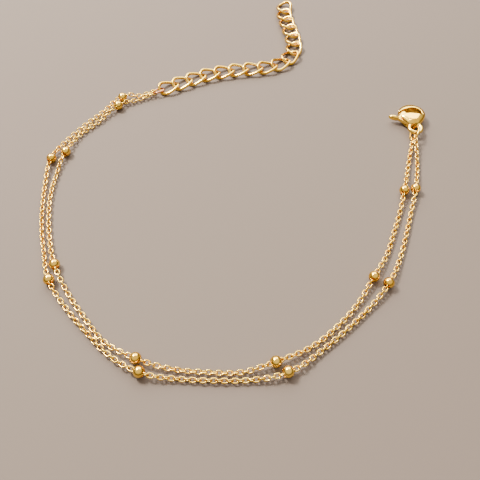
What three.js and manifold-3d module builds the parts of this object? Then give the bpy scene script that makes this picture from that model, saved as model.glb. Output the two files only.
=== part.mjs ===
// Beaded bracelet: two fine cable-chain strands with round drilled beads, a lobster clasp at
// one end and a twisted curb extender at the other, lying unfastened in an open C on z = 0.
// Millimetres, +Z up. The clasp's long axis runs nearly along +Y, at +X; the extender leads to +Y.

import * as THREE from "three";
import { mergeVertices } from "three/addons/utils/BufferGeometryUtils.js";
import Module from "manifold-3d";

const wasm = await Module();
wasm.setup();

// Strands and beads.
const BEAD_D = 2.0;
const BEAD_HOLE_D = 1.15;
const BEAD_RIM_ROUND = 0.06;
const BEAD_SIDES = 14;
const BEAD_Z = BEAD_D / 2;
const STRAND_D = 0.8;
const STRAND_Z = 0.53;
const STRAND_SIDES = 8;
const STRAND_STEP = 2.2;
const STRAND_LEVEL = 1.5;

// Extender: twisted curb links, each through the next, and the oval ring before them.
const LINK_COUNT = 16;
const LINK_PITCH = 3.45;
const LINK_WIRE = 0.62;
const LINK_HALF_LENGTH = 2.18;
const LINK_HALF_WIDTH = 1.55;
const LINK_TWIST_RISE = 0.56;
const LINK_Z = LINK_TWIST_RISE + LINK_WIRE / 2 + 0.01;
const WIRE_SIDES = 6;
const LOOP_SIDES = 16;
const EXTENDER_RING = { halfLength: 1.2, halfWidth: 1.05, wire: 0.42 };
const EXTENDER_RING_AT = { x: -18.85, y: 17.1, z: 0.85, turn: 32, lean: -22 };

// Lobster clasp, in its own frame: the eye at the origin, +Y towards the hook, +X across.
const CLASP_AT = { x: 37.3, y: 4.35, turn: 1.5 };
const CLASP_T = 2.5;
const CLASP_EDGE_ROUND = 0.45;
const HEAD = { y: 4.1, r: 2.95 };
const EYE_R = 1.65;
const EYE_HOLE_R = 0.87;
const EYE_T = 0.9;
const EYE_Z = 1.35;
const JAW = { x: 0.15, y: 3.5, r: 2.05 };
const PIVOT = { x: -0.95, y: 1.78 };
const PIN_R = 0.3;
const PIN_GAP = 0.1;
const HUB_R = 0.6;
const GATE_R = 3.28;
const GAP = 0.12;
const LEVER_T = 0.9;
const GATE_T = 2.2;
const TAB = { from: [-3.35, 3.25], to: [-4.65, 3.75], r: 0.46, t: 1.2 };
const CLASP_RING = { halfLength: 1.6, halfWidth: 1.25, wire: 0.42 };
const CLASP_RING_AT = { x: 36.9, y: 3, z: 1.3, turn: -12, lean: -60 };

// Strand routes from the extender ring to the clasp ring. A row is one point: x, y and
// whether a bead sits there. The strand runs through the bead's middle and lies down between.
const OUTER_ROUTE = [
  { x: -20.55, y: 16.6, bead: false },
  { x: -23.7, y: 15.6, bead: false },
  { x: -26.8, y: 14.65, bead: true },
  { x: -30.5, y: 10.45, bead: false },
  { x: -34, y: 6.05, bead: false },
  { x: -37.2, y: 1.25, bead: false },
  { x: -39.2, y: -4.05, bead: true },
  { x: -39.4, y: -9.85, bead: false },
  { x: -38.8, y: -15.75, bead: false },
  { x: -37.8, y: -21.65, bead: false },
  { x: -36.2, y: -27.45, bead: false },
  { x: -34.1, y: -33.15, bead: true },
  { x: -30.6, y: -38.15, bead: false },
  { x: -26.4, y: -42.75, bead: false },
  { x: -21.9, y: -47.05, bead: false },
  { x: -16.4, y: -50.25, bead: true },
  { x: -10.5, y: -51.25, bead: false },
  { x: -4.5, y: -51.55, bead: false },
  { x: 1.5, y: -51.45, bead: false },
  { x: 7.4, y: -50.25, bead: true },
  { x: 12.6, y: -46.85, bead: false },
  { x: 17.4, y: -42.85, bead: false },
  { x: 22, y: -38.55, bead: false },
  { x: 25.9, y: -33.85, bead: true },
  { x: 28.8, y: -28.55, bead: false },
  { x: 30.9, y: -23.05, bead: false },
  { x: 32.8, y: -17.55, bead: false },
  { x: 34.5, y: -12.15, bead: true },
  { x: 36.1, y: -5.65, bead: false },
  { x: 37.1, y: 0.7, bead: false },
];
const INNER_ROUTE = [
  { x: -20.2, y: 15.6, bead: false },
  { x: -23.8, y: 14.05, bead: false },
  { x: -27.4, y: 11.95, bead: true },
  { x: -30.8, y: 7.65, bead: false },
  { x: -34.5, y: 3.25, bead: false },
  { x: -36.6, y: -2.15, bead: true },
  { x: -37.5, y: -7.55, bead: false },
  { x: -37.7, y: -13.25, bead: false },
  { x: -37, y: -18.95, bead: false },
  { x: -35.7, y: -24.55, bead: false },
  { x: -33.7, y: -29.95, bead: true },
  { x: -30.7, y: -35.25, bead: false },
  { x: -26.9, y: -40.25, bead: false },
  { x: -22.7, y: -44.95, bead: false },
  { x: -17.2, y: -47.95, bead: true },
  { x: -11.6, y: -49.55, bead: false },
  { x: -5.8, y: -50.15, bead: false },
  { x: 0, y: -50.15, bead: false },
  { x: 5.5, y: -48.55, bead: true },
  { x: 11.2, y: -45.95, bead: false },
  { x: 16, y: -42.15, bead: false },
  { x: 20.2, y: -37.55, bead: false },
  { x: 23.5, y: -32.55, bead: true },
  { x: 26.5, y: -27.75, bead: false },
  { x: 28.6, y: -22.75, bead: false },
  { x: 30.6, y: -17.65, bead: false },
  { x: 32.2, y: -12.65, bead: true },
  { x: 34.2, y: -5.85, bead: false },
  { x: 36, y: 0.6, bead: false },
];

// Middle line of the extender, from the first link's centre on.
const EXTENDER_ROUTE = [
  { x: -16.65, y: 18.4 },
  { x: -13.7, y: 19.95 },
  { x: -7.4, y: 22.85 },
  { x: -0.7, y: 24.45 },
  { x: 5.6, y: 25.35 },
  { x: 9.2, y: 26.75 },
  { x: 11.8, y: 29.55 },
  { x: 12.9, y: 33.25 },
  { x: 12.2, y: 40.05 },
  { x: 11.2, y: 45.35 },
  { x: 11.2, y: 49.45 },
  { x: 11.8, y: 52.45 },
];

const GOLD = "#d9a441";
const ROSE_GOLD = "#d8a27a";

function material(color) {
  return new THREE.MeshStandardMaterial({ color, metalness: 1.0, roughness: 0.18 });
}

// A closed geometry as a solid, with only merged positions left.
function solidOf(geometry) {
  geometry.deleteAttribute("normal");
  geometry.deleteAttribute("uv");
  const merged = mergeVertices(geometry, 1e-5);
  return new wasm.Manifold(
    new wasm.Mesh({
      numProp: 3,
      vertProperties: merged.attributes.position.array,
      triVerts: Uint32Array.from(merged.index.array),
    }),
  );
}

// A solid as a flat-shaded geometry.
function geometryOf(solid) {
  const mesh = solid.getMesh();
  const geometry = new THREE.BufferGeometry();
  geometry.setAttribute("position", new THREE.BufferAttribute(mesh.vertProperties, 3));
  geometry.setIndex(new THREE.BufferAttribute(mesh.triVerts, 1));
  const flat = geometry.toNonIndexed();
  flat.computeVertexNormals();
  return flat;
}

// An upright round plate between two heights.
function disc(x, y, r, low, high, sides = 32) {
  const geometry = new THREE.CylinderGeometry(r, r, high - low, sides);
  geometry.rotateX(Math.PI / 2);
  geometry.translate(x, y, (low + high) / 2);
  return solidOf(geometry);
}

// An outline raised between two heights, its outer edges rounded by `round`.
function plate(outline, low, high, round = 0) {
  const geometry = new THREE.ExtrudeGeometry(new THREE.Shape(outline), {
    depth: high - low - 2 * round,
    bevelEnabled: round > 0,
    bevelThickness: round,
    bevelSize: round,
    bevelOffset: -round,
    bevelSegments: 2,
  });
  geometry.translate(0, 0, low + round);
  return solidOf(geometry);
}

function points(pairs) {
  return pairs.map(([x, y]) => new THREE.Vector2(x, y));
}

// Points on an arc, from one angle to another in degrees.
function arc(x, y, r, from, to, steps) {
  const list = [];
  for (let i = 0; i <= steps; i++) {
    const angle = THREE.MathUtils.degToRad(from + ((to - from) * i) / steps);
    list.push([x + r * Math.cos(angle), y + r * Math.sin(angle)]);
  }
  return list;
}

// A round wire bent along a closed path: path(t) gives the middle line at t = 0 to 2 pi.
// The ring's own angles come back from a torus, whose vertices are laid along the path.
function wireLoop(path, wire) {
  const geometry = new THREE.TorusGeometry(1, 0.5, WIRE_SIDES, LOOP_SIDES);
  const position = geometry.attributes.position;
  const up = new THREE.Vector3(0, 0, 1);
  for (let i = 0; i < position.count; i++) {
    const x = position.getX(i);
    const y = position.getY(i);
    const around = Math.atan2(y, x);
    const section = Math.atan2(position.getZ(i), Math.hypot(x, y) - 1);
    const middle = path(around);
    const tangent = path(around + 0.01).sub(path(around - 0.01)).normalize();
    const outward = new THREE.Vector3().crossVectors(tangent, up).normalize();
    const lift = new THREE.Vector3().crossVectors(outward, tangent);
    middle.addScaledVector(outward, (Math.cos(section) * wire) / 2);
    middle.addScaledVector(lift, (Math.sin(section) * wire) / 2);
    position.setXYZ(i, middle.x, middle.y, middle.z);
  }
  return geometryOf(solidOf(geometry));
}

function curbLink() {
  return wireLoop(
    (t) =>
      new THREE.Vector3(
        LINK_HALF_LENGTH * Math.cos(t),
        LINK_HALF_WIDTH * Math.sin(t),
        -LINK_TWIST_RISE * Math.sin(2 * t),
      ),
    LINK_WIRE,
  );
}

function ovalRing({ halfLength, halfWidth, wire }) {
  return wireLoop(
    (t) => new THREE.Vector3(halfLength * Math.cos(t), halfWidth * Math.sin(t), 0),
    wire,
  );
}

// A drilled bead, its hole along +Y before it is turned: an arc outside, the bore inside.
function drilledBead() {
  const r = BEAD_D / 2;
  const hole = BEAD_HOLE_D / 2;
  const rim = Math.asin((hole + BEAD_RIM_ROUND) / r);
  const profile = [];
  for (let i = 0; i <= 8; i++) {
    const angle = rim + ((Math.PI - 2 * rim) * i) / 8;
    profile.push(new THREE.Vector2(r * Math.sin(angle), -r * Math.cos(angle)));
  }
  const mouth = r * Math.cos(rim) - BEAD_RIM_ROUND;
  profile.push(new THREE.Vector2(hole, mouth), new THREE.Vector2(hole, -mouth));
  profile.push(profile[0].clone());
  return geometryOf(solidOf(new THREE.LatheGeometry(profile, BEAD_SIDES)));
}

// The level direction of a strand at row i of its route.
function alongRoute(route, i) {
  const before = route[i - 1];
  const after = route[i + 1];
  return new THREE.Vector3(after.x - before.x, after.y - before.y, 0).normalize();
}

// The chain's middle line: straight and level through each bead, lying down between them.
function strandCurve(route) {
  const list = [];
  route.forEach(({ x, y, bead }, i) => {
    const point = new THREE.Vector3(x, y, bead ? BEAD_Z : STRAND_Z);
    if (!bead) {
      list.push(point);
      return;
    }
    const step = alongRoute(route, i).multiplyScalar(STRAND_LEVEL);
    list.push(point.clone().sub(step), point, point.clone().add(step));
  });
  return new THREE.CatmullRomCurve3(list, false, "centripetal");
}

// The strand's outer shape: a round tube along the chain's middle line.
function strandTube(curve) {
  const section = new THREE.Shape().absarc(0, 0, STRAND_D / 2, 0, 2 * Math.PI);
  const steps = Math.round(curve.getLength() / STRAND_STEP);
  return new THREE.ExtrudeGeometry(section, {
    extrudePath: curve,
    steps,
    curveSegments: STRAND_SIDES / 2,
    bevelEnabled: false,
  });
}

// Hook, palm of two cheeks with the lever's slot between them, neck and eye.
function claspBody() {
  const mid = CLASP_T / 2;
  const outline = points([
    [1.0, 0.95],
    [1.9, 1.6],
    ...arc(0, HEAD.y, HEAD.r, -25, 205, 30),
    [-1.4, 0.95],
  ]);
  const head = plate(outline, 0, CLASP_T, CLASP_EDGE_ROUND);
  const eye = disc(0, 0, EYE_R, EYE_Z - EYE_T / 2, EYE_Z + EYE_T / 2, 28);
  const jaw = disc(JAW.x, JAW.y, JAW.r, -1, CLASP_T + 1);
  const jawFloor = plate(points([[-4, 0], [4, 0], [4, 2.6], [-1.4, 3.65], [-4, 3.65]]), -2, 5);
  const gateSpace = plate(gateOutline(GAP), -1, CLASP_T + 1);
  const leverSpace = plate(leverSpaceOutline(), mid - LEVER_T / 2 - GAP, mid + LEVER_T / 2 + GAP);
  return head
    .add(eye)
    .subtract(jaw.subtract(jawFloor))
    .subtract(gateSpace)
    .subtract(leverSpace)
    .subtract(disc(PIVOT.x, PIVOT.y, PIN_R + PIN_GAP, -1, CLASP_T + 1, 16))
    .subtract(disc(0, 0, EYE_HOLE_R, -1, CLASP_T + 1, 24));
}

// The gate between palm and hook tip, seen from above; `grow` is the clearance around it.
// Its top is an arc about the pivot, so that it slides past the hook tip's end.
function gateOutline(grow) {
  const top = arc(PIVOT.x, PIVOT.y, GATE_R + grow, grow > 0 ? 88 : 103, 125, 8);
  const outer = grow > 0 ? [[-3.6, 4.5], [-3.6, 2.9 - grow]] : [[-2.92, 4.2], [-2.85, 3.2]];
  return points([[-1.4 + 3 * grow, 3.82 - grow], ...top, ...outer, [-1.6, 3.77 - grow]]);
}

// The room between the cheeks that the lever's arm and hub sweep.
function leverSpaceOutline() {
  const hub = arc(PIVOT.x, PIVOT.y, HUB_R + GAP, -90, 20, 8);
  return points([[-4, 0.9], [PIVOT.x, PIVOT.y - HUB_R - GAP], ...hub, [0.1, 4.1], [-4, 4.1]]);
}

function claspLever() {
  const mid = CLASP_T / 2;
  const hub = disc(PIVOT.x, PIVOT.y, HUB_R, mid - LEVER_T / 2, mid + LEVER_T / 2, 20);
  const armOutline = [[-0.5, 2.1], [-1.4, 3.9], [-3.3, 3.6], [-3.25, 2.85], [-1.5, 1.2]];
  const arm = plate(points(armOutline), mid - LEVER_T / 2, mid + LEVER_T / 2);
  const gate = plate(gateOutline(0), mid - GATE_T / 2, mid + GATE_T / 2);
  return hub.add(arm).add(gate).add(thumbTab(mid))
    .subtract(disc(PIVOT.x, PIVOT.y, PIN_R + PIN_GAP, -1, CLASP_T + 1, 16));
}

// The thumb tab: a bar with a round end, standing out to the side of the gate.
function thumbTab(mid) {
  const [x0, y0] = TAB.from;
  const [x1, y1] = TAB.to;
  const turn = THREE.MathUtils.radToDeg(Math.atan2(y1 - y0, x1 - x0));
  const root = arc(x0, y0, TAB.r * 0.8, turn + 90, turn + 270, 4);
  const tip = arc(x1, y1, TAB.r, turn - 90, turn + 90, 8);
  return plate(points([...root, ...tip]), mid - TAB.t / 2, mid + TAB.t / 2, 0.25);
}

const root = new THREE.Group();

function addNode(parent, name, geometry, color = GOLD) {
  const mesh = new THREE.Mesh(geometry, material(color));
  mesh.name = name;
  parent.add(mesh);
  return mesh;
}

function addStrand(side, route) {
  addNode(root, `strand_${side}`, strandTube(strandCurve(route)));
  const hole = new THREE.Vector3(0, 1, 0);
  let number = 0;
  route.forEach(({ x, y, bead: here }, i) => {
    if (!here) return;
    number += 1;
    const bead = addNode(root, `bead_${side}_${number}`, drilledBead());
    bead.position.set(x, y, BEAD_Z);
    bead.quaternion.setFromUnitVectors(hole, alongRoute(route, i));
  });
}

// A ring of round wire, turned about +Z and leaned about its own long axis, in degrees.
function addRing(name, shape, at, color) {
  const ring = addNode(root, name, ovalRing(shape), color);
  ring.position.set(at.x, at.y, at.z);
  ring.rotation.order = "ZXY";
  ring.rotation.z = THREE.MathUtils.degToRad(at.turn);
  ring.rotation.x = THREE.MathUtils.degToRad(at.lean);
}

function addExtender() {
  addRing("extender_ring", EXTENDER_RING, EXTENDER_RING_AT, ROSE_GOLD);
  const list = EXTENDER_ROUTE.map(({ x, y }) => new THREE.Vector3(x, y, LINK_Z));
  const curve = new THREE.CatmullRomCurve3(list, false, "centripetal");
  curve.arcLengthDivisions = 2000;
  const length = curve.getLength();
  for (let i = 0; i < LINK_COUNT; i++) {
    const name = `extender_link_${String(i + 1).padStart(2, "0")}`;
    const link = addNode(root, name, curbLink());
    const along = curve.getTangentAt((i * LINK_PITCH) / length);
    link.position.copy(curve.getPointAt((i * LINK_PITCH) / length));
    link.rotation.z = Math.atan2(along.y, along.x);
  }
}

function addClasp() {
  const clasp = new THREE.Group();
  clasp.position.set(CLASP_AT.x, CLASP_AT.y, 0);
  clasp.rotation.z = THREE.MathUtils.degToRad(CLASP_AT.turn);
  root.add(clasp);
  addNode(clasp, "clasp_body", geometryOf(claspBody()));
  addNode(clasp, "clasp_lever", geometryOf(claspLever()));
  const pin = disc(PIVOT.x, PIVOT.y, PIN_R, 0.05, CLASP_T - 0.05, 16);
  addNode(clasp, "clasp_pin", geometryOf(pin));
  addRing("clasp_ring", CLASP_RING, { ...CLASP_RING_AT, turn: CLASP_RING_AT.turn + 90 }, GOLD);
}

addStrand("outer", OUTER_ROUTE);
addStrand("inner", INNER_ROUTE);
addExtender();
addClasp();

export default root;
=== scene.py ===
import math

import bmesh
import bpy
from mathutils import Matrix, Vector


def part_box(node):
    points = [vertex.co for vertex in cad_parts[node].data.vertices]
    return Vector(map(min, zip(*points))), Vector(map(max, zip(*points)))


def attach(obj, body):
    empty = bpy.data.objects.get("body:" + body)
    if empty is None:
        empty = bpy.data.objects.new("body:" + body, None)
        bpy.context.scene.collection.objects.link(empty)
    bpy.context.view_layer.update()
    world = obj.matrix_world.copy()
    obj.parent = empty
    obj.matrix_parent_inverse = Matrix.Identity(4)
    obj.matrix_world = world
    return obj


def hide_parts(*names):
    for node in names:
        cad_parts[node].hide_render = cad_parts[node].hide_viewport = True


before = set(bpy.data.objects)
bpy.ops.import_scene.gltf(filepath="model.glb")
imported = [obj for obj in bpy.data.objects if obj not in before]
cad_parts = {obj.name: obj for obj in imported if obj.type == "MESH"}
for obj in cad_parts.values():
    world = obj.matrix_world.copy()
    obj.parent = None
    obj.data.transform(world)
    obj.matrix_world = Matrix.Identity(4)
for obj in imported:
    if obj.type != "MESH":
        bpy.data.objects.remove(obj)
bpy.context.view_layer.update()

# ---------------------------------------------------------------------------------------
# Camera. Held about 12 cm from the bracelet, looking along +Y and 55 degrees down, the way
# a phone is held over a table.
# ---------------------------------------------------------------------------------------
CAMERA_AT = (-0.0003, -0.08418, 0.086)
CAMERA_TILT = 35

bpy.ops.object.camera_add(
    location=CAMERA_AT, rotation=(math.radians(CAMERA_TILT), 0, 0)
)
camera = bpy.context.object
camera.name = "camera"
camera.data.sensor_width = 36
camera.data.lens = 42
camera.data.clip_start = 0.005
bpy.context.scene.camera = camera

# ---------------------------------------------------------------------------------------
# Floor. A plain pale sheet of matt card that the bracelet lies on. Its fine pressed grain
# only takes the shine off it.
# ---------------------------------------------------------------------------------------
FLOOR_SIDE = 3.0
FLOOR_HEIGHT = -0.00003
CARD = "#6f635a"
# The grain of pressed card at its real size.
CARD_GRAIN_MM = 0.25


def linear(hex_colour):
    """An sRGB hex colour as the linear colour, with alpha, that a shader socket takes."""
    parts = [int(hex_colour[i : i + 2], 16) / 255 for i in (1, 3, 5)]
    curve = [c / 12.92 if c <= 0.04045 else ((c + 0.055) / 1.055) ** 2.4 for c in parts]
    return (*curve, 1.0)


def add_node(tree, kind, inputs, **settings):
    """Adds a node, sets its settings, and gives each named input a value or a link."""
    node = tree.nodes.new(kind)
    for name, value in settings.items():
        setattr(node, name, value)
    for name, value in inputs.items():
        if isinstance(value, bpy.types.NodeSocket):
            tree.links.new(value, node.inputs[name])
        else:
            node.inputs[name].default_value = value
    return node


def new_material(name):
    """A new material with an empty node tree, and that tree."""
    material = bpy.data.materials.new(name)
    material.use_nodes = True
    material.node_tree.nodes.clear()
    return material, material.node_tree


def matt_card():
    """Pressed card: an even pale tone, no shine, a faint grain."""
    material, tree = new_material("matt_card")
    place = add_node(tree, "ShaderNodeTexCoord", {}).outputs["Object"]
    grain = add_node(
        tree, "ShaderNodeTexNoise", {"Vector": place, "Scale": 1000 / CARD_GRAIN_MM}
    )
    relief = add_node(
        tree,
        "ShaderNodeBump",
        {"Height": grain.outputs["Fac"], "Strength": 0.12, "Distance": 0.00003},
    )
    shader = add_node(
        tree,
        "ShaderNodeBsdfPrincipled",
        {
            "Base Color": linear(CARD),
            "Roughness": 0.75,
            "Specular IOR Level": 0.2,
            "Normal": relief.outputs["Normal"],
        },
    )
    add_node(tree, "ShaderNodeOutputMaterial", {"Surface": shader.outputs["BSDF"]})
    return material


bpy.ops.object.select_all(action="DESELECT")
bpy.ops.mesh.primitive_plane_add(size=FLOOR_SIDE, location=(0, 0, FLOOR_HEIGHT))
floor = bpy.context.object
floor.name = "floor"
bpy.ops.object.transform_apply(location=True, rotation=True, scale=True)
floor.data.materials.append(matt_card())

# ---------------------------------------------------------------------------------------
# Studio light. A wide soft window behind the bracelet gives the white highlights, and a
# small box on the left the shadows. The ceiling is pale and the walls brown: gold shows both.
# ---------------------------------------------------------------------------------------
ROOM_WALLS = "#463221"
ROOM_CEILING = "#efe7dc"
ROOM_STRENGTH = 1.45


def soft_box(name, at, width, height, watts, colour):
    """An area light at a place in metres, turned to face the bracelet."""
    bpy.ops.object.light_add(type="AREA", location=at)
    light = bpy.context.object
    light.name = name
    light.rotation_euler = (-Vector(at)).to_track_quat("-Z", "Y").to_euler()
    light.data.shape = "RECTANGLE"
    light.data.size = width
    light.data.size_y = height
    light.data.energy = watts
    light.data.color = linear(colour)[:3]


soft_box(
    "window", at=(-0.06, 0.44, 0.4), width=0.8, height=0.5, watts=11.0, colour="#fffdf8"
)
soft_box(
    "key", at=(-0.26, 0.2, 0.42), width=0.12, height=0.12, watts=7.0, colour="#fff8ee"
)

room = bpy.data.worlds.new("room")
room.use_nodes = True
room.node_tree.nodes.clear()
direction = add_node(room.node_tree, "ShaderNodeTexCoord", {}).outputs["Generated"]
height = add_node(room.node_tree, "ShaderNodeSeparateXYZ", {"Vector": direction})
walls = add_node(room.node_tree, "ShaderNodeValToRGB", {"Fac": height.outputs["Z"]})
walls.color_ramp.elements[0].position = 0.15
walls.color_ramp.elements[0].color = linear(ROOM_WALLS)
walls.color_ramp.elements[1].position = 0.75
walls.color_ramp.elements[1].color = linear(ROOM_CEILING)
background = add_node(
    room.node_tree,
    "ShaderNodeBackground",
    {"Color": walls.outputs["Color"], "Strength": ROOM_STRENGTH},
)
add_node(
    room.node_tree, "ShaderNodeOutputWorld", {"Surface": background.outputs["Background"]}
)
bpy.context.scene.world = room

# ---------------------------------------------------------------------------------------
# Chain strands. Two fine cable chains of oval links bent from 0.28 mm steel wire and
# plated, each link turned a quarter against the last. Their end links hold the two rings.
# ---------------------------------------------------------------------------------------
GOLD_LIGHT = "#fed760"
GOLD_DEEP = "#f0bc3c"
# The plating's tone shifts over about a bead's width, as on the real wire. Handling marks
# are about 0.02 mm wide in life, too fine to show, so they are drawn coarser.
PLATING_PATCH_MM = 2.4
HANDLING_MARK_MM = 0.12
CHAIN_WIRE = 0.28
CHAIN_HALF_LENGTH = 0.5625
CHAIN_HALF_WIDTH = 0.39
CHAIN_PITCH = 0.845
BEAD_Z = 1.0
CHAIN_Z = 0.58
BEAD_LEVEL = 1.5

# Columns: x, y, the chain's roll in degrees, and whether a bead sits there.
OUTER_ROUTE = (
    (-23.7, 15.6, 30, False),
    (-26.8, 14.65, 40, True),
    (-30.5, 10.45, 45, False),
    (-34, 6.05, 40, False),
    (-37.2, 1.25, 50, False),
    (-39.2, -4.05, 10, True),
    (-39.4, -9.85, 0, False),
    (-38.8, -15.75, 10, False),
    (-37.8, -21.65, 20, False),
    (-36.2, -27.45, 20, False),
    (-34.1, -33.15, 10, True),
    (-30.6, -38.15, 0, False),
    (-26.4, -42.75, 35, False),
    (-21.9, -47.05, 0, False),
    (-16.4, -50.25, 0, True),
    (-10.5, -51.25, 0, False),
    (-4.5, -51.55, 0, False),
    (1.5, -51.45, 0, False),
    (7.4, -50.25, 30, True),
    (12.6, -46.85, 10, False),
    (17.4, -42.85, 0, False),
    (22, -38.55, 0, False),
    (25.9, -33.85, 0, True),
    (28.8, -28.55, 5, False),
    (30.9, -23.05, 10, False),
    (32.8, -17.55, 10, False),
    (34.5, -12.15, 10, True),
    (36.1, -5.65, 15, False),
)
INNER_ROUTE = (
    (-23.8, 14.05, 30, False),
    (-27.4, 11.95, 40, True),
    (-30.8, 7.65, 45, False),
    (-34.5, 3.25, 40, False),
    (-36.6, -2.15, 35, True),
    (-37.5, -7.55, 15, False),
    (-37.7, -13.25, 10, False),
    (-37, -18.95, 10, False),
    (-35.7, -24.55, 5, False),
    (-33.7, -29.95, 0, True),
    (-30.7, -35.25, 0, False),
    (-26.9, -40.25, 0, False),
    (-22.7, -44.95, 0, False),
    (-17.2, -47.95, 10, True),
    (-11.6, -49.55, 45, False),
    (-5.8, -50.15, 45, False),
    (0, -50.15, 30, False),
    (5.5, -48.55, 0, True),
    (11.2, -45.95, 0, False),
    (16, -42.15, 0, False),
    (20.2, -37.55, 0, False),
    (23.5, -32.55, 0, True),
    (26.5, -27.75, 5, False),
    (28.6, -22.75, 10, False),
    (30.6, -17.65, 10, False),
    (32.2, -12.65, 10, True),
    (34.2, -5.85, 15, False),
)
# Where each strand's first and last links hold the rings, spread along the ring's wire
# and square to it, so that no link cuts another: x, y, z, roll.
OUTER_ENDS = ((-20.12, 16.94, 0.64, 24), (36.8, 1.36, 1.69, 29))
INNER_ENDS = ((-19.77, 16.18, 0.96, 24), (36.32, 1.46, 0.89, 29))


def plated_steel(name, light, deep):
    """Polished steel wire or casting under thin gold plating: a clear mirror shine whose
    tone shifts a little from place to place, dulled in small spots by handling marks."""
    material, tree = new_material(name)
    place = add_node(tree, "ShaderNodeTexCoord", {}).outputs["Object"]
    patches = add_node(
        tree,
        "ShaderNodeTexNoise",
        {"Vector": place, "Scale": 1000 / PLATING_PATCH_MM, "Detail": 3.0},
    )
    tone = add_node(
        tree, "ShaderNodeValToRGB", {"Fac": patches.outputs["Fac"]}, name="plating_tone"
    )
    tone.color_ramp.elements[0].position = 0.35
    tone.color_ramp.elements[0].color = linear(deep)
    tone.color_ramp.elements[1].position = 0.65
    tone.color_ramp.elements[1].color = linear(light)
    marks = add_node(
        tree,
        "ShaderNodeTexNoise",
        {"Vector": place, "Scale": 1000 / HANDLING_MARK_MM, "Detail": 4.0},
    )
    dulling = add_node(
        tree,
        "ShaderNodeMapRange",
        {
            "Value": marks.outputs["Fac"],
            "From Min": 0.35,
            "From Max": 0.75,
            "To Min": 0.1,
            "To Max": 0.24,
        },
    )
    relief = add_node(
        tree,
        "ShaderNodeBump",
        {"Height": marks.outputs["Fac"], "Strength": 0.08, "Distance": 0.00001},
    )
    shader = add_node(
        tree,
        "ShaderNodeBsdfPrincipled",
        {
            "Base Color": tone.outputs["Color"],
            "Metallic": 1.0,
            "Roughness": dulling.outputs["Result"],
            "Normal": relief.outputs["Normal"],
        },
    )
    add_node(tree, "ShaderNodeOutputMaterial", {"Surface": shader.outputs["BSDF"]})
    return material


yellow_gold = plated_steel("yellow_gold_plated_steel", GOLD_LIGHT, GOLD_DEEP)


def only(piece):
    """Makes this piece the one selected and active object."""
    bpy.ops.object.select_all(action="DESELECT")
    piece.select_set(True)
    bpy.context.view_layer.objects.active = piece


# How far a test line is set off the rows of points, so that none lies on it.
PICK_SLACK = 0.01


def pick(piece, test):
    """In edit mode, selects the points whose place passes the test, and nothing else."""
    bpy.ops.mesh.select_all(action="DESELECT")
    shape = bmesh.from_edit_mesh(piece.data)
    for point in shape.verts:
        point.select = test(point.co)
    shape.select_flush(True)
    bmesh.update_edit_mesh(piece.data)


def wire_oval(name, half_length, half_width, wire, around, across, steps=1):
    """Round wire bent to an oval along X: a ring whose two halves are drawn apart, in one
    step for straight sides, or in several that leave the middle behind for bowed sides."""
    bpy.ops.object.select_all(action="DESELECT")
    bpy.ops.mesh.primitive_torus_add(
        major_radius=half_width,
        minor_radius=wire / 2,
        major_segments=around,
        minor_segments=across,
    )
    oval = bpy.context.object
    oval.name = name
    bpy.ops.object.mode_set(mode="EDIT")
    drawn = [math.sin(math.pi / 2 * step / steps) ** 0.5 for step in range(steps + 1)]
    for step in range(steps):
        lean = math.tan(2 * math.pi * step / around + PICK_SLACK)
        share = (drawn[step + 1] - drawn[step]) * (half_length - half_width)
        for side in (-1, 1):
            pick(oval, lambda at: at.x * side > abs(at.y) * lean)
            bpy.ops.transform.translate(value=(side * share, 0, 0))
    bpy.ops.object.mode_set(mode="OBJECT")
    return oval


def copy_of(pattern, name):
    """A copy of a finished pattern piece, with its own mesh."""
    only(pattern)
    bpy.ops.object.duplicate(linked=False)
    copy = bpy.context.object
    copy.name = name
    return copy


def finish(piece, modifiers=()):
    """Applies a piece's modifiers in order, each given as its kind and settings."""
    only(piece)
    for kind, settings in modifiers:
        modifier = piece.modifiers.new(kind.lower(), kind)
        for name, value in settings.items():
            setattr(modifier, name, value)
        bpy.ops.object.modifier_apply(modifier=modifier.name)


def settle(piece, body, material, nodes, place=(0, 0, 0), turn=(0, 0, 0)):
    """Takes a piece made in millimetres to its place in metres and onto its body."""
    only(piece)
    piece.location = Vector(place) * 0.001
    piece.rotation_euler = [math.radians(angle) for angle in turn]
    piece.scale = (0.001, 0.001, 0.001)
    bpy.ops.object.transform_apply(location=True, rotation=True, scale=True)
    bpy.ops.object.shade_smooth()
    piece.data.materials.clear()
    piece.data.materials.append(material)
    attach(piece, body)
    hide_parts(*nodes)


def heading(route, i):
    """The level direction of a strand at one row of its route."""
    ahead = Vector(route[min(i + 1, len(route) - 1)][:2])
    return (ahead - Vector(route[max(i - 1, 0)][:2])).normalized()


def chain_points(route, ends):
    """The chain's middle line as (x, y, z, roll): level through beads, low between them."""
    points = [ends[0]]
    for i, (x, y, roll, bead) in enumerate(route):
        if bead:
            step = heading(route, i) * BEAD_LEVEL
            for side in (-1, 0, 1):
                points.append((x + side * step.x, y + side * step.y, BEAD_Z, roll))
        else:
            points.append((x, y, CHAIN_Z, roll))
    return points + [ends[1]]


def chain_line(name, points):
    """A smooth curve through the chain's points, tilted by their roll."""
    line = bpy.data.curves.new(name, "CURVE")
    line.dimensions = "3D"
    line.twist_mode = "Z_UP"
    line.resolution_u = 16
    spline = line.splines.new("BEZIER")
    spline.bezier_points.add(len(points) - 1)
    for knot, (x, y, z, roll) in zip(spline.bezier_points, points):
        knot.co = (x, y, z)
        knot.tilt = math.radians(roll)
        knot.handle_left_type = knot.handle_right_type = "AUTO"
    line_object = bpy.data.objects.new(name, line)
    bpy.context.scene.collection.objects.link(line_object)
    bpy.context.view_layer.update()
    return line_object


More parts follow.
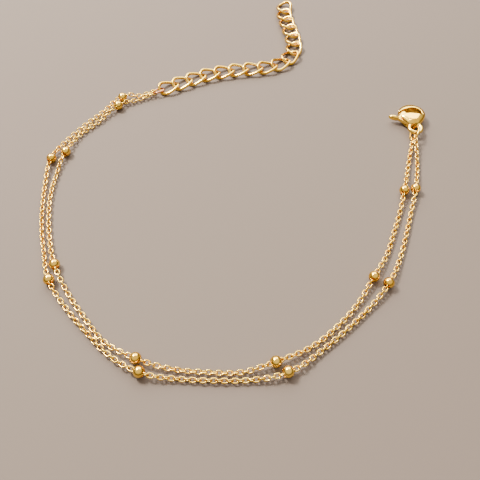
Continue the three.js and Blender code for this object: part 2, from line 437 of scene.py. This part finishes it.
def link_pair(name, pitch):
    """Two links of the chain: an upright one, and a flat one through it a pitch away."""
    flat = copy_of(chain_link, "flat_link")
    flat.location.x = pitch
    upright = copy_of(chain_link, name)
    upright.rotation_euler.x = math.radians(90)
    flat.select_set(True)
    bpy.ops.object.transform_apply(location=True, rotation=True, scale=True)
    bpy.ops.object.join()
    return upright


def chain_strand(side, route, ends):
    """One strand: pairs of links repeated along the middle line, as one mesh."""
    name = f"chain_{side}"
    line = chain_line(f"line_{side}", chain_points(route, ends))
    length = line.data.splines[0].calc_length()
    pairs = round((length / CHAIN_PITCH + 1) / 2)
    pitch = length / (2 * pairs - 1)
    chain = link_pair(name, pitch)
    repeat = {
        "count": pairs,
        "use_relative_offset": False,
        "use_constant_offset": True,
        "constant_offset_displace": (2 * pitch, 0, 0),
    }
    follow = {"object": line, "deform_axis": "POS_X"}
    finish(chain, (("ARRAY", repeat), ("CURVE", follow)))
    bpy.data.objects.remove(line)
    settle(chain, "bracelet", yellow_gold, [f"strand_{side}"])


chain_link = wire_oval(
    "chain_link",
    CHAIN_HALF_LENGTH,
    CHAIN_HALF_WIDTH,
    CHAIN_WIRE,
    around=12,
    across=5,
)
chain_strand("outer", OUTER_ROUTE, OUTER_ENDS)
chain_strand("inner", INNER_ROUTE, INNER_ENDS)
bpy.data.objects.remove(chain_link)

# ---------------------------------------------------------------------------------------
# Beads. Round 2 mm beads turned from steel, drilled through for the chain with a rounded
# rim at each mouth, polished and plated. Seven are threaded on each strand.
# ---------------------------------------------------------------------------------------
BEAD_RADIUS = 1.0
BEAD_RINGS = 36
MOUTH_ANGLE = 35
MOUTH_ROUND = 0.05


def drilled_bead(name):
    """A ball with its two polar caps taken off and the mouths joined by a bore along Z."""
    bpy.ops.object.select_all(action="DESELECT")
    bpy.ops.mesh.primitive_uv_sphere_add(
        segments=40, ring_count=BEAD_RINGS, radius=BEAD_RADIUS
    )
    bead = bpy.context.object
    bead.name = name
    mouth = BEAD_RADIUS * math.sin(math.radians(MOUTH_ANGLE))
    bpy.ops.object.mode_set(mode="EDIT")
    pick(bead, lambda at: at.xy.length < mouth - PICK_SLACK)
    bpy.ops.mesh.delete(type="VERT")
    pick(bead, lambda at: at.xy.length < mouth + PICK_SLACK)
    bpy.ops.mesh.bridge_edge_loops()
    pick(bead, lambda at: at.xy.length < mouth + PICK_SLACK)
    bpy.ops.mesh.region_to_loop()
    bpy.ops.mesh.bevel(offset=MOUTH_ROUND, segments=2)
    bpy.ops.mesh.select_all(action="SELECT")
    bpy.ops.mesh.normals_make_consistent(inside=False)
    bpy.ops.object.mode_set(mode="OBJECT")
    return bead


bead_pattern = drilled_bead("bead_pattern")
for side, route in (("outer", OUTER_ROUTE), ("inner", INNER_ROUTE)):
    rows = [i for i, row in enumerate(route) if row[3]]
    for number, i in enumerate(rows, start=1):
        along = heading(route, i)
        turned = math.degrees(math.atan2(-along.x, along.y))
        settle(
            copy_of(bead_pattern, f"round_bead_{side}_{number}"),
            "bracelet",
            yellow_gold,
            [f"bead_{side}_{number}"],
            place=(*route[i][:2], BEAD_Z),
            turn=(90, 0, turned),
        )
bpy.data.objects.remove(bead_pattern)

# ---------------------------------------------------------------------------------------
# Extender ring. A small oval ring of round wire between the strands and the extender,
# plated in a paler, pinker gold.
# ---------------------------------------------------------------------------------------
ROSE_LIGHT = "#e8ab86"
ROSE_DEEP = "#d99a74"

rose_gold = plated_steel("rose_gold_plated_steel", ROSE_LIGHT, ROSE_DEEP)

settle(
    wire_oval(
        "oval_ring_extender",
        half_length=1.2,
        half_width=1.05,
        wire=0.42,
        around=48,
        across=12,
    ),
    "bracelet",
    rose_gold,
    ["extender_ring"],
    place=(-18.85, 17.1, 0.85),
    turn=(-22, 0, 32),
)

# ---------------------------------------------------------------------------------------
# Extender. Sixteen curb links bent from round wire and twisted about their length, so
# that each lies flat through the next.
# ---------------------------------------------------------------------------------------
LINK_COUNT = 16
LINK_NAMES = [f"extender_link_{number:02d}" for number in range(1, LINK_COUNT + 1)]
LINK_HALF_LENGTH = 2.26
LINK_HALF_WIDTH = 1.72
LINK_WIRE = 0.68
LINK_TWIST = -62
# The links lie a little lower than the middle of the space each one takes up.
LINK_LIFT = Vector((0, 0, -0.06))


def middle(name):
    """The middle of a piece's box in the frame, in millimetres."""
    low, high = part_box(name)
    return (low + high) * 500


def bearing(start, end):
    """The level direction from one place to another, in degrees from +X."""
    return math.degrees(math.atan2(end.y - start.y, end.x - start.x))


# Each link points from the one before it to the one after it.
centres = [middle(name) for name in LINK_NAMES]
angles = [bearing(a, b) for a, b in zip(centres, centres[2:])]
angles.insert(0, bearing(centres[0], centres[1]))
angles.append(2 * bearing(centres[-2], centres[-1]) - angles[-1])

curb_link = wire_oval(
    "curb_link",
    LINK_HALF_LENGTH,
    LINK_HALF_WIDTH,
    LINK_WIRE,
    around=48,
    across=12,
    steps=6,
)
twist = {
    "deform_method": "TWIST",
    "deform_axis": "X",
    "angle": math.radians(LINK_TWIST),
}
finish(curb_link, (("SIMPLE_DEFORM", twist),))
for name, centre, angle in zip(LINK_NAMES, centres, angles):
    settle(
        copy_of(curb_link, f"curb_{name}"),
        "bracelet",
        yellow_gold,
        [name],
        place=centre + LINK_LIFT,
        turn=(0, 0, angle),
    )
bpy.data.objects.remove(curb_link)

# ---------------------------------------------------------------------------------------
# Clasp ring. An oval ring of round wire, leaning in the clasp's eye and holding both
# strands' last links.
# ---------------------------------------------------------------------------------------
settle(
    wire_oval(
        "oval_ring_clasp",
        half_length=1.6,
        half_width=1.25,
        wire=0.42,
        around=48,
        across=12,
    ),
    "bracelet",
    yellow_gold,
    ["clasp_ring"],
    place=(36.9, 3, 1.3),
    turn=(-60, 0, 78),
)

# ---------------------------------------------------------------------------------------
# Clasp body. A lobster clasp cast in steel: a hook round the jaw, a domed palm of two
# cheeks with the lever's slot between them, and an eye. It is tumbled smooth and plated.
# ---------------------------------------------------------------------------------------
CLASP_PLACE = (37.3, 4.35, 0)
CLASP_TURN = (0, 0, 1.5)
CLASP_MIDDLE = 1.25
HEAD_Y = 4.1
HEAD_R = 2.95
HEAD_CROWN = (0.2, 3.0)
HEAD_BELT = 0.3
DOME_STEPS = 8
DOME_TOP_SIZE = 0.3
NECK_AT = (0.1, 1.35, CLASP_MIDDLE)
NECK_SIZES = (1.05, 0.8, 0.6)
EYE_R = 1.26
EYE_WIRE_R = 0.42
EYE_HOLE_R = 0.84
EYE_Z = 1.35
JAW = (0.15, 3.5)
JAW_R = 1.93
PIVOT = (-0.95, 1.78)
PIN_HOLE_R = 0.31
HUB_ROOM_R = 0.72
GATE_R = 3.28
LEVER_THICK = 0.9
LEVER_GAP = 0.12
# Heights of a cut right through the clasp, and of one right through such a cutter.
THROUGH = (-1, 4)
PAST_THROUGH = (-2, 5)


def arc(centre, r, start, end, steps):
    """Points on an arc, from one angle to another in degrees."""
    angles = [math.radians(start + (end - start) * i / steps) for i in range(steps + 1)]
    return [
        (centre[0] + r * math.cos(a), centre[1] + r * math.sin(a)) for a in angles
    ]


def circle(centre, r, points):
    """Points all the way round a circle."""
    return arc(centre, r, 0, 360 * (points - 1) / points, points - 1)


def block(name, outline, low, high):
    """A flat outline of points, filled and extruded between two heights."""
    bpy.ops.object.select_all(action="DESELECT")
    bpy.ops.mesh.primitive_circle_add(vertices=len(outline), fill_type="NGON")
    piece = bpy.context.object
    piece.name = name
    for point, (x, y) in zip(piece.data.vertices, outline):
        point.co = (x, y, low)
    bpy.ops.object.mode_set(mode="EDIT")
    bpy.ops.mesh.select_all(action="SELECT")
    bpy.ops.mesh.extrude_region_move(
        TRANSFORM_OT_translate={"value": (0, 0, high - low)}
    )
    bpy.ops.mesh.select_all(action="SELECT")
    bpy.ops.mesh.normals_make_consistent(inside=False)
    bpy.ops.object.mode_set(mode="OBJECT")
    return piece


def pebble(name, at, sizes, turn=0):
    """A ball pressed to half sizes along X, Y and Z, then turned in degrees about Z."""
    bpy.ops.object.select_all(action="DESELECT")
    bpy.ops.mesh.primitive_uv_sphere_add(segments=32, ring_count=16, location=at)
    piece = bpy.context.object
    piece.name = name
    piece.scale = sizes
    piece.rotation_euler.z = math.radians(turn)
    bpy.ops.object.transform_apply(location=True, rotation=True, scale=True)
    return piece


def combine(piece, other, how):
    """Cuts, joins or keeps the overlap of two closed shapes, and drops the second."""
    finish(piece, (("BOOLEAN", {"operation": how, "object": other, "solver": "EXACT"}),))
    bpy.data.objects.remove(other)


def tumble(piece, grain, passes):
    """Takes the edges off a casting, as tumbling with grit does."""
    finish(
        piece,
        (
            ("REMESH", {"mode": "VOXEL", "voxel_size": grain}),
            ("SMOOTH", {"factor": 0.5, "iterations": passes}),
        ),
    )


def gate_outline(grow):
    """The gate between palm and hook tip, with its clearance when grow is above 0."""
    top = arc(PIVOT, GATE_R + grow, 88 if grow else 103, 125, 8)
    outer = [(-3.6, 4.5), (-3.6, 2.9 - grow)] if grow else [(-2.92, 4.2), (-2.85, 3.2)]
    return [(-1.4 + 3 * grow, 3.82 - grow), *top, *outer, (-1.6, 3.77 - grow)]


shoulder = [(-0.2, 0.7), (0.9, 0.9), (1.45, 1.35), (1.95, 1.87), (2.36, 2.43), (2.66, 3)]
clasp = block(
    "lobster_clasp",
    [*shoulder, *arc((0, HEAD_Y), HEAD_R, -13, 205, 48), (-1.4, 0.95), (-0.9, 0.75)],
    CLASP_MIDDLE - HEAD_BELT,
    CLASP_MIDDLE + HEAD_BELT,
)

# The belt's top and bottom are extruded in steps that shrink towards the crown, as a dome.
bpy.ops.object.mode_set(mode="EDIT")
for side in (-1, 1):
    pick(clasp, lambda at: (at.z - CLASP_MIDDLE) * side > 0)
    size, rise = 1.0, 0.0
    for step in range(1, DOME_STEPS + 1):
        turn = math.radians(90 * step / DOME_STEPS)
        next_size = DOME_TOP_SIZE + (1 - DOME_TOP_SIZE) * math.cos(turn)
        next_rise = (CLASP_MIDDLE - HEAD_BELT) * math.sin(turn)
        bpy.ops.mesh.extrude_region_move(
            TRANSFORM_OT_translate={"value": (0, 0, side * (next_rise - rise))}
        )
        bpy.ops.transform.resize(
            value=(next_size / size, next_size / size, 1),
            center_override=(*HEAD_CROWN, 0),
        )
        size, rise = next_size, next_rise
bpy.ops.mesh.select_all(action="SELECT")
bpy.ops.mesh.normals_make_consistent(inside=False)
bpy.ops.object.mode_set(mode="OBJECT")

# The jaw is a round hole that stops at the palm's edge.
jaw = block("jaw", circle(JAW, JAW_R, 60), *THROUGH)
palm_outline = [(-4, 0), (4, 0), (4, 2.8), (1.4, 3.5), (-0.4, 3.8), (-4, 3.65)]
combine(jaw, block("palm", palm_outline, *PAST_THROUGH), "DIFFERENCE")
combine(clasp, jaw, "DIFFERENCE")
combine(clasp, pebble("neck", NECK_AT, NECK_SIZES), "UNION")
tumble(clasp, grain=0.09, passes=24)

bpy.ops.object.select_all(action="DESELECT")
bpy.ops.mesh.primitive_torus_add(
    location=(0, 0, EYE_Z),
    major_radius=EYE_R,
    minor_radius=EYE_WIRE_R,
    major_segments=48,
    minor_segments=16,
)
combine(clasp, bpy.context.object, "UNION")
eye_hole = block("eye_hole", circle((0, 0), EYE_HOLE_R, 45), *THROUGH)
combine(clasp, eye_hole, "DIFFERENCE")
gate_room = block("gate_room", gate_outline(LEVER_GAP), *THROUGH)
combine(clasp, gate_room, "DIFFERENCE")
hub_room = arc(PIVOT, HUB_ROOM_R, -90, 20, 8)
hub_low = (PIVOT[0], PIVOT[1] - HUB_ROOM_R)
lever_room = [(-4, 0.9), hub_low, *hub_room, (0.1, 4.1), (-4, 4.1)]
slot_half = LEVER_THICK / 2 + LEVER_GAP
slot = block("slot", lever_room, CLASP_MIDDLE - slot_half, CLASP_MIDDLE + slot_half)
combine(clasp, slot, "DIFFERENCE")
tumble(clasp, grain=0.05, passes=10)
pin_hole = block("pin_hole", circle(PIVOT, PIN_HOLE_R, 24), *THROUGH)
combine(clasp, pin_hole, "DIFFERENCE")
settle(
    clasp,
    "bracelet",
    yellow_gold,
    ["clasp_body"],
    place=CLASP_PLACE,
    turn=CLASP_TURN,
)

# ---------------------------------------------------------------------------------------
# Clasp lever. A hub on the pin, a flat arm between the cheeks, the gate that closes the
# jaw, and the round tab that a thumb pushes, all one casting.
# ---------------------------------------------------------------------------------------
ARM_HALF_THICK = 0.38
ARM_LOW = CLASP_MIDDLE - ARM_HALF_THICK
ARM_HIGH = CLASP_MIDDLE + ARM_HALF_THICK
HUB_R = 0.62
LEVER_BORE_R = 0.38
GATE_HEIGHTS = (0, 2.5)
CROWN_SIZES = (3.4, 3.4, 1.25)
TAB_AT = (-3.85, 3.48, CLASP_MIDDLE)
TAB_SIZES = (1.3, 0.5, 0.62)
TAB_TURN = 160

lever = block(
    "clasp_thumb_lever",
    [(-0.5, 2.1), (-1.4, 3.9), (-3.2, 3.6), (-3.05, 2.8), (-1.3, 1.3)],
    ARM_LOW,
    ARM_HIGH,
)
hub = block("hub", circle(PIVOT, HUB_R, 30), ARM_LOW, ARM_HIGH)
combine(lever, hub, "UNION")
# The gate is rounded over as the head is.
gate = block("gate", gate_outline(0), *GATE_HEIGHTS)
crown = pebble("crown", (*HEAD_CROWN, CLASP_MIDDLE), CROWN_SIZES)
combine(gate, crown, "INTERSECT")
combine(lever, gate, "UNION")
combine(lever, pebble("tab", TAB_AT, TAB_SIZES, TAB_TURN), "UNION")
tumble(lever, grain=0.05, passes=24)
bore = block("bore", circle(PIVOT, LEVER_BORE_R, 24), *THROUGH)
combine(lever, bore, "DIFFERENCE")
settle(
    lever,
    "lever",
    yellow_gold,
    ["clasp_lever"],
    place=CLASP_PLACE,
    turn=CLASP_TURN,
)

# ---------------------------------------------------------------------------------------
# Clasp pin. A short steel rod through both cheeks, its ends filed and polished flush.
# ---------------------------------------------------------------------------------------
PIN_R = 0.3
PIN_HEIGHTS = (0.2, 2.32)

pin = block("clasp_rivet_pin", circle(PIVOT, PIN_R, 24), *PIN_HEIGHTS)
finish(pin, (("BEVEL", {"width": 0.04, "segments": 2}),))
settle(
    pin,
    "bracelet",
    yellow_gold,
    ["clasp_pin"],
    place=CLASP_PLACE,
    turn=CLASP_TURN,
)
